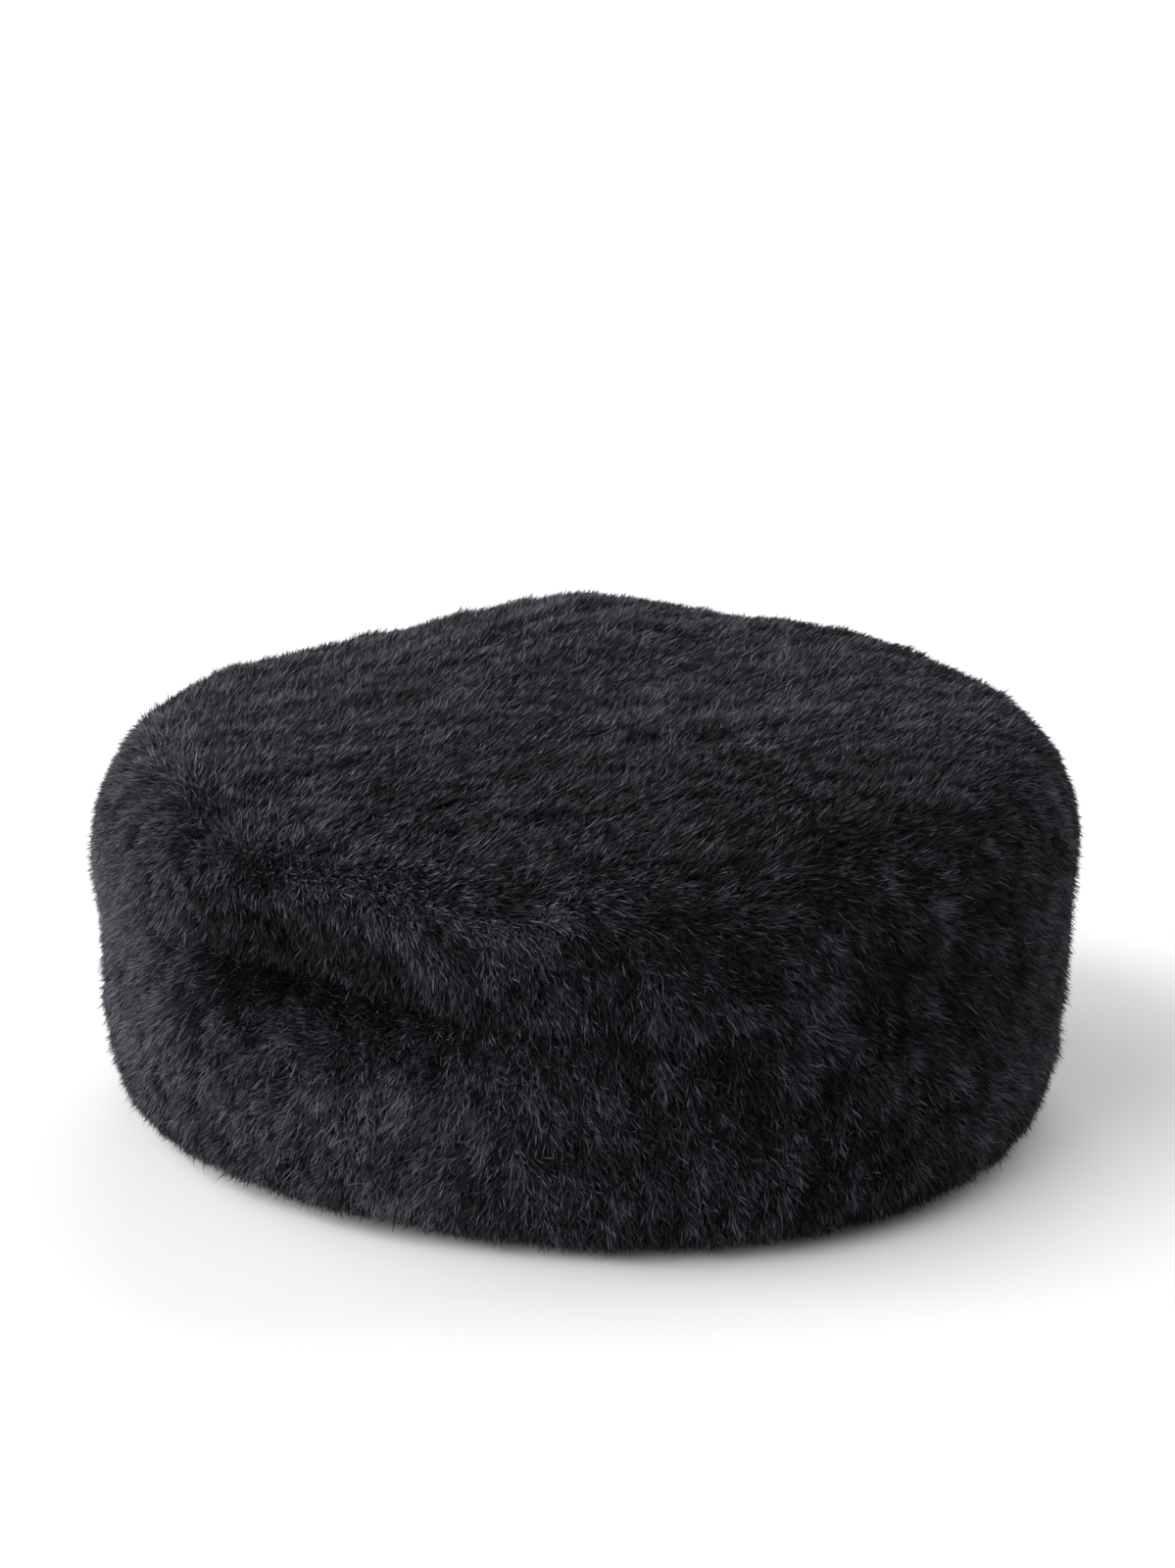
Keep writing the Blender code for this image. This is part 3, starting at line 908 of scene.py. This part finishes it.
@lru_cache(maxsize=None)
def bed_material():
    # The bed takes the roots' dark colour, painted shade at the bottom of the pile
    return mottled_material(
        "bed of the wool", bpy.context.scene.hat_colours.root, deep_share=0.4, patch=0.006,
        nap=0.0008, roughness=0.9, bump=0.6, distance=0.001)


@lru_cache(maxsize=None)
def suede_material():
    return mottled_material(
        "suede side of the skin", bpy.context.scene.hat_colours.skin, deep_share=0.6,
        patch=0.011, nap=0.0007, roughness=0.85, bump=0.35, distance=0.0004)


@lru_cache(maxsize=None)
def thread_material():
    return mottled_material(
        "seam thread", bpy.context.scene.hat_colours.thread, deep_share=0.5,
        patch=0.002, nap=0.0003, roughness=0.6, bump=0.5, distance=0.0002)


def build_panel(name, node):
    """The panel under its wool: the bed of the wool outside, and the suede inside."""
    settings = bpy.context.scene.hat_pile
    part = panel(node)
    points = part.points.copy()
    sink = settings.depth - BED_RISE
    points[part.on_pile] -= part.normals[part.on_pile] * sink
    points[part.on_hem, 2] += HEM_LIFT
    mesh = plain_mesh(name, points.tolist(), part.triangles.tolist())
    mesh.materials.append(bed_material())
    mesh.materials.append(suede_material())
    mesh.polygons.foreach_set("material_index", part.is_skin.astype(np.int32))
    piece = new_object(name, mesh)
    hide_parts(node)
    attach(piece, "root")


def tube(line, outward, radii, closed):
    """Points and faces of a tube round a line of points."""
    if closed:
        along = np.roll(line, -1, axis=0) - np.roll(line, 1, axis=0)
    else:
        along = np.gradient(line, axis=0)
    outward = flatten(outward, unit(along))
    across = np.cross(unit(along), outward)
    angles = np.linspace(0, 2 * math.pi, TUBE_SIDES, endpoint=False)[None, :, None]
    rings = line[:, None] + radii[:, None, None] * (
        np.cos(angles) * outward[:, None] + np.sin(angles) * across[:, None])
    count = len(line)
    faces = []
    for ring in range(count if closed else count - 1):
        here = ring * TUBE_SIDES
        there = (ring + 1) % count * TUBE_SIDES
        for side in range(TUBE_SIDES):
            after = (side + 1) % TUBE_SIDES
            faces.append([here + side, here + after, there + after, there + side])
    if not closed:
        faces.append(list(reversed(range(TUBE_SIDES))))
        faces.append(list(range((count - 1) * TUBE_SIDES, count * TUBE_SIDES)))
    return rings.reshape(-1, 3), faces


def sewn_line(line, inward, closed, settings):
    """The fold and the overcast stitches of one seam: a list of tubes for each."""
    radii = settings.fold_radius * (1 + FOLD_WAVER * waves(line, FOLD_WAVER_SIZE, FOLD_SEED))
    fold = tube(line, inward, radii, closed)
    steps = np.linalg.norm(np.diff(line, axis=0), axis=1)
    length = np.concatenate([[0], np.cumsum(steps)])
    stitches = []
    turns = np.linspace(-1, 1, STITCH_POINTS)
    for place in np.arange(settings.stitch_spacing / 2, length[-1], settings.stitch_spacing):
        centre, lean = (np.array([np.interp(place, length, axis) for axis in values.T])
                        for values in (line, inward))
        ahead = np.array([np.interp(place + SEAM_STEP, length, axis) for axis in line.T])
        behind = np.array([np.interp(place - SEAM_STEP, length, axis) for axis in line.T])
        along = unit(ahead - behind)
        lean = flatten(lean, along)
        across = np.cross(along, lean)
        angles = turns * STITCH_WRAP
        outward = np.cos(angles)[:, None] * lean + np.sin(angles)[:, None] * across
        path = centre + outward * settings.fold_radius * STITCH_LIFT
        path = path + turns[:, None] * along * settings.stitch_slant / 2
        thread = np.full(STITCH_POINTS, settings.thread_radius)
        stitches.append(tube(path, outward, thread, False))
    return [fold], stitches


def build_seams(name):
    """The two seams that show inside: round the crown, and down the centre back."""
    settings = bpy.context.scene.hat_seams
    bearings = np.linspace(0, 2 * math.pi, CROWN_SEAM_POINTS, endpoint=False)
    round_line = np.stack([(HEAD_HALF_WIDTH - SEAM_INSET) * np.cos(bearings),
                           (HEAD_HALF_DEPTH - SEAM_INSET) * np.sin(bearings),
                           np.full(CROWN_SEAM_POINTS, CROWN_SEAM_HEIGHT)], axis=1)
    inward = unit(round_line * np.array([-1, -1, 0])) + np.array([0, 0, -1])
    top = CROWN_SEAM_HEIGHT - settings.fold_radius
    back_line = np.zeros((BACK_SEAM_POINTS, 3))
    back_line[:, 1] = HEAD_HALF_DEPTH - SEAM_INSET
    back_line[:, 2] = np.linspace(BACK_SEAM_FOOT, top, BACK_SEAM_POINTS)
    forward = np.tile([0.0, -1.0, 0.0], (BACK_SEAM_POINTS, 1))
    seams = (sewn_line(round_line, inward, True, settings),
             sewn_line(back_line, forward, False, settings))
    points = []
    faces = []
    slots = []
    for kind in (0, 1):
        for tube_points, tube_faces in seams[0][kind] + seams[1][kind]:
            shift = len(points)
            points.extend(tube_points.tolist())
            faces.extend([[corner + shift for corner in face] for face in tube_faces])
            slots.extend([kind] * len(tube_faces))
    mesh = plain_mesh(name, points, faces)
    mesh.materials.append(suede_material())
    mesh.materials.append(thread_material())
    mesh.polygons.foreach_set("material_index", slots)
    piece = new_object(name, mesh)
    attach(piece, "root")


def build_pile(node, layers, seed):
    """The layers of hair on one panel."""
    settings = bpy.context.scene.hat_pile
    locks = Locks(node, settings, seed)
    for layer in layers:
        mesh = hair_mesh(layer[0], grow_hairs(node, locks, layer, settings))
        mesh.materials.append(hair_material())
        piece = new_object(layer[0], mesh)
        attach(piece, "root")


class HAT_OT_crown_panel(bpy.types.Operator):
    """Build the round top panel under its wool"""

    bl_idname = "hat.crown_panel"
    bl_label = "Crown Panel"

    def execute(self, context):
        build_panel("crown_panel", "crown_tip")
        return {"FINISHED"}


class HAT_OT_band_panel(bpy.types.Operator):
    """Build the side band under its wool"""

    bl_idname = "hat.band_panel"
    bl_label = "Band Panel"

    def execute(self, context):
        build_panel("band_panel", "side_band")
        return {"FINISHED"}


class HAT_OT_seams(bpy.types.Operator):
    """Sew the seams that show inside the hat"""

    bl_idname = "hat.seams"
    bl_label = "Inside Seams"

    def execute(self, context):
        build_seams("inside_seams")
        return {"FINISHED"}


class HAT_OT_crown_wool(bpy.types.Operator):
    """Grow and comb the wool of the top"""

    bl_idname = "hat.crown_wool"
    bl_label = "Crown Wool"

    def execute(self, context):
        build_pile("crown_tip", CROWN_LAYERS, CROWN_LOCKS_SEED)
        return {"FINISHED"}


class HAT_OT_band_wool(bpy.types.Operator):
    """Grow and comb the wool of the band"""

    bl_idname = "hat.band_wool"
    bl_label = "Band Wool"

    def execute(self, context):
        build_pile("side_band", BAND_LAYERS, BAND_LOCKS_SEED)
        return {"FINISHED"}


def add_soft_sun(name, toward, strength, spread):
    """A wide soft light, as from a large window, that comes from the given direction."""
    light = bpy.data.lights.new(name, "SUN")
    light.energy = strength
    light.angle = spread
    lamp = new_object(name, light)
    lamp.location = Vector(toward).normalized() * 2
    lamp.rotation_euler = (-Vector(toward)).to_track_quat("-Z", "Y").to_euler()


def add_camera(stage):
    aim = Vector((0, 0, stage.aim_height))
    back = Vector((0, -math.cos(stage.elevation), math.sin(stage.elevation)))
    camera = bpy.data.cameras.new("camera")
    camera.sensor_width = SENSOR
    camera.lens = SENSOR * stage.focal_pixels / FRAME_HEIGHT
    camera.shift_y = stage.drop_pixels / FRAME_HEIGHT
    lens = new_object("camera", camera)
    lens.location = aim + back * stage.distance
    lens.rotation_euler = (math.pi / 2 - stage.elevation, 0, 0)
    bpy.context.scene.camera = lens


def floor_material(stage):
    return mottled_material(
        "studio floor", stage.floor, deep_share=0.985, patch=0.4, nap=0.01,
        roughness=0.7, bump=0.02, distance=0.0002)


def add_floor(stage):
    bearings = np.linspace(0, 2 * math.pi, FLOOR_CORNERS, endpoint=False)
    corners = [(FLOOR_RADIUS * math.cos(bearing), FLOOR_RADIUS * math.sin(bearing), 0.0)
               for bearing in bearings]
    mesh = plain_mesh("floor", corners, [list(range(FLOOR_CORNERS))])
    mesh.materials.append(floor_material(stage))
    new_object("floor", mesh)


class HAT_OT_stage(bpy.types.Operator):
    """Set the camera, the pale floor and the soft lights"""

    bl_idname = "hat.stage"
    bl_label = "Studio Stage"

    def execute(self, context):
        scene = context.scene
        stage = scene.hat_stage
        add_camera(stage)
        add_floor(stage)
        add_soft_sun("key", KEY_FROM, stage.key_strength, KEY_SPREAD)
        add_soft_sun("rim", RIM_FROM, stage.rim_strength, RIM_SPREAD)
        add_soft_sun("edge", EDGE_FROM, stage.edge_strength, EDGE_SPREAD)
        world = bpy.data.worlds.new("studio")
        world.use_nodes = True
        background = world.node_tree.nodes["Background"]
        background.inputs["Color"].default_value = (1, 1, 1, 1)
        background.inputs["Strength"].default_value = stage.surroundings
        scene.world = world
        scene.view_settings.view_transform = "Standard"
        return {"FINISHED"}


class HAT_PT_sidebar(bpy.types.Panel):
    """Buttons and settings of the hat"""

    bl_idname = "HAT_PT_sidebar"
    bl_label = "Shearling Hat"
    bl_space_type = "VIEW_3D"
    bl_region_type = "UI"
    bl_category = "Shearling Hat"

    def draw(self, context):
        layout = self.layout
        for operator in OPERATORS:
            layout.operator(operator.bl_idname)
        for settings in GROUPS:
            group = getattr(context.scene, settings)
            box = layout.box()
            for name in group.__annotations__:
                box.prop(group, name)


OPERATORS = (HAT_OT_crown_panel, HAT_OT_band_panel, HAT_OT_seams,
             HAT_OT_crown_wool, HAT_OT_band_wool, HAT_OT_stage)
GROUPS = {"hat_pile": HatPileSettings, "hat_colours": HatColourSettings,
          "hat_seams": HatSeamSettings, "hat_stage": HatStageSettings}


def register():
    for settings in GROUPS.values():
        bpy.utils.register_class(settings)
    for name, settings in GROUPS.items():
        setattr(bpy.types.Scene, name, PointerProperty(type=settings))
    for operator in OPERATORS:
        bpy.utils.register_class(operator)
    bpy.utils.register_class(HAT_PT_sidebar)


def unregister():
    bpy.utils.unregister_class(HAT_PT_sidebar)
    for operator in reversed(OPERATORS):
        bpy.utils.unregister_class(operator)
    for name, settings in GROUPS.items():
        delattr(bpy.types.Scene, name)
        bpy.utils.unregister_class(settings)


def main():
    register()
    bpy.ops.hat.crown_panel()
    bpy.ops.hat.band_panel()
    bpy.ops.hat.seams()
    bpy.ops.hat.crown_wool()
    bpy.ops.hat.band_wool()
    bpy.ops.hat.stage()


if __name__ == "__main__":
    main()
